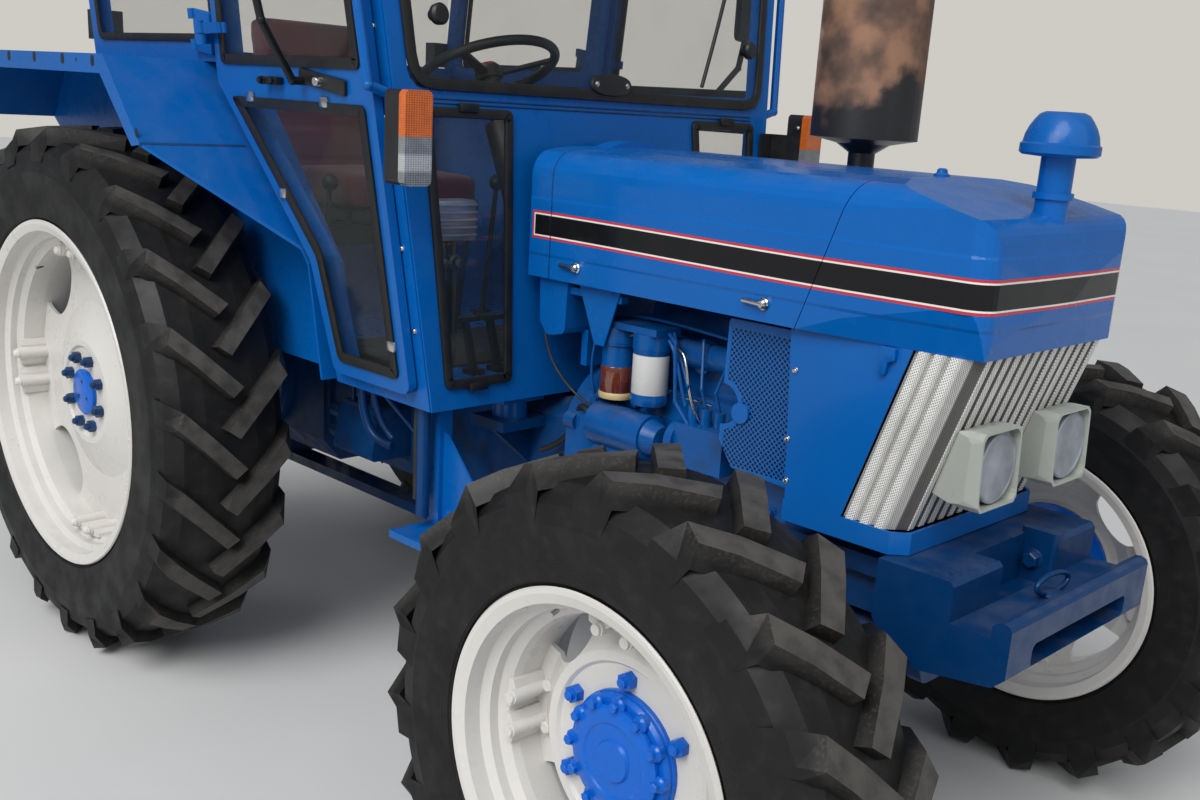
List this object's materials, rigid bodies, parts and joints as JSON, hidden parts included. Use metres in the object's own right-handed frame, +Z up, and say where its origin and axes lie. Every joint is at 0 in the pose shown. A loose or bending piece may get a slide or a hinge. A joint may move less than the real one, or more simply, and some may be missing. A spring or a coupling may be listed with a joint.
{
  "type": "utility tractor",
  "caption": "Four-wheel-drive farm tractor with a glazed cab, lugged tyres, open engine side, square lamps, front weight and rear linkage; wheels, steering, doors and hitch move.",
  "frame": {"origin": "on the ground under the middle of the tractor's length and width", "axes": "+X forward, +Y to the tractor's left, +Z up"},
  "size_m": [3.6445, 1.871, 2.4398],
  "materials": {
    "engine_paint": "oily",
    "gearbox_paint": "oily and dusty",
    "body_paint": "weathered",
    "cab_paint": "weathered",
    "weight_paint": "chipped",
    "roof_paint": "weathered",
    "grille_metal": "stained",
    "lamp_metal": "stained",
    "black_metal": "matte",
    "rusty_steel": "rusty",
    "worn_steel": "worn",
    "rim_paint": "weathered",
    "hub_paint": "weathered",
    "tyre_rubber": "dusty",
    "window_glass": "clear",
    "black_plastic": "grained",
    "seat_cloth": "worn",
    "lamp_plastic": "satin",
    "lens_glass": "clear"
  },
  "bodies": {
    "tractor": {"engine": "engine_paint", "drive_train": "gearbox_paint", "front_support": "gearbox_paint", "front_axle": "gearbox_paint", "radiator": "black_metal", "fuel_tank": "body_paint", "engine_fittings": "engine_paint", "fuel_filters": "engine_paint", "hood": "body_paint", "nose": "body_paint", "side_panels": "body_paint", "grille": "grille_metal", "headlamps": "lamp_metal", "lenses": "lens_glass", "front_weight": "weight_paint", "exhaust": "rusty_steel", "precleaner": "body_paint", "cab_frame": "cab_paint", "cab_roof": "roof_paint", "front_wall": "cab_paint", "floor_pan": "cab_paint", "cab_glass": "window_glass", "fenders": "cab_paint", "console": "black_plastic", "seat_base": "black_metal", "seat_cushion": "seat_cloth", "seat_back": "seat_cloth", "lamps": "lamp_plastic", "tow_hitch": "worn_steel"},
    "steering_wheel": {"steering_wheel": "black_plastic"},
    "door_left": {"door_left": "cab_paint", "door_glass_left": "window_glass"},
    "front_knuckle_left": {"knuckle_left": "gearbox_paint"},
    "front_wheel_left": {"front_rim_left": "rim_paint", "front_hub_left": "hub_paint", "front_tyre_left": "tyre_rubber"},
    "rear_wheel_left": {"rear_rim_left": "rim_paint", "rear_hub_left": "hub_paint", "rear_tyre_left": "tyre_rubber"},
    "door_right": {"door_right": "cab_paint", "door_glass_right": "window_glass"},
    "front_knuckle_right": {"knuckle_right": "gearbox_paint"},
    "front_wheel_right": {"front_rim_right": "rim_paint", "front_hub_right": "hub_paint", "front_tyre_right": "tyre_rubber"},
    "rear_wheel_right": {"rear_rim_right": "rim_paint", "rear_hub_right": "hub_paint", "rear_tyre_right": "tyre_rubber"},
    "tie_rod": {"tie_rod": "worn_steel"},
    "lift_arms": {"lift_arms": "gearbox_paint"},
    "lower_links": {"lower_links": "worn_steel"},
    "lift_rods": {"lift_rods": "worn_steel"}
  },
  "joints": [
    {"name": "left_steer", "type": "hinge", "parent": "tractor", "child": "front_knuckle_left", "pos_m": [1.2825, 0.605, 0.54], "axis": [0, 0, 1], "range_deg": [-38, 38]},
    {"name": "right_steer", "type": "hinge", "parent": "tractor", "child": "front_knuckle_right", "pos_m": [1.2825, -0.605, 0.54], "axis": [0, 0, 1], "range_deg": [-38, 38]},
    {"name": "tie_rod_end", "type": "hinge", "parent": "front_knuckle_left", "child": "tie_rod", "pos_m": [1.0825, 0.605, 0.432], "axis": [0, 0, 1], "range_deg": [-38, 38]},
    {"name": "column_turn", "type": "hinge", "parent": "tractor", "child": "steering_wheel", "pos_m": [-0.1175, 0, 1.7], "axis": [-0.4226, 0, 0.9063], "range_deg": [-480, 480]},
    {"name": "left_front_roll", "type": "hinge", "parent": "front_knuckle_left", "child": "front_wheel_left", "pos_m": [1.2825, 0.793, 0.54], "axis": [0, 1, 0], "continuous": true},
    {"name": "left_rear_roll", "type": "hinge", "parent": "tractor", "child": "rear_wheel_left", "pos_m": [-0.9175, 0.724, 0.745], "axis": [0, 1, 0], "continuous": true},
    {"name": "left_door_swing", "type": "hinge", "parent": "tractor", "child": "door_left", "pos_m": [-0.3425, 0.68721, 1.5], "axis": [0, 0.0924, 0.9957], "range_deg": [0, 54]},
    {"name": "right_front_roll", "type": "hinge", "parent": "front_knuckle_right", "child": "front_wheel_right", "pos_m": [1.2825, -0.793, 0.54], "axis": [0, 1, 0], "continuous": true},
    {"name": "right_rear_roll", "type": "hinge", "parent": "tractor", "child": "rear_wheel_right", "pos_m": [-0.9175, -0.724, 0.745], "axis": [0, 1, 0], "continuous": true},
    {"name": "right_door_swing", "type": "hinge", "parent": "tractor", "child": "door_right", "pos_m": [-0.3425, -0.68721, 1.5], "axis": [0, -0.0924, 0.9957], "range_deg": [-54, 0]},
    {"name": "hitch_lift", "type": "hinge", "parent": "tractor", "child": "lower_links", "pos_m": [-0.9775, 0, 0.43], "axis": [0, 1, 0], "range_deg": [-14, 24]},
    {"name": "lift_arm_turn", "type": "hinge", "parent": "tractor", "child": "lift_arms", "pos_m": [-0.9775, 0, 1.03], "axis": [0, 1, 0], "range_deg": [-14, 24]},
    {"name": "lift_rod_turn", "type": "hinge", "parent": "lift_arms", "child": "lift_rods", "pos_m": [-1.3475, 0, 1.08902], "axis": [0, 1, 0], "range_deg": [-24, 14]}
  ],
  "couplings": [
    {"joint": "right_steer", "follows": "left_steer", "ratio": 1},
    {"joint": "tie_rod_end", "follows": "left_steer", "ratio": -1},
    {"joint": "column_turn", "follows": "left_steer", "ratio": 12},
    {"joint": "lift_arm_turn", "follows": "hitch_lift", "ratio": 1},
    {"joint": "lift_rod_turn", "follows": "hitch_lift", "ratio": -1}
  ]
}
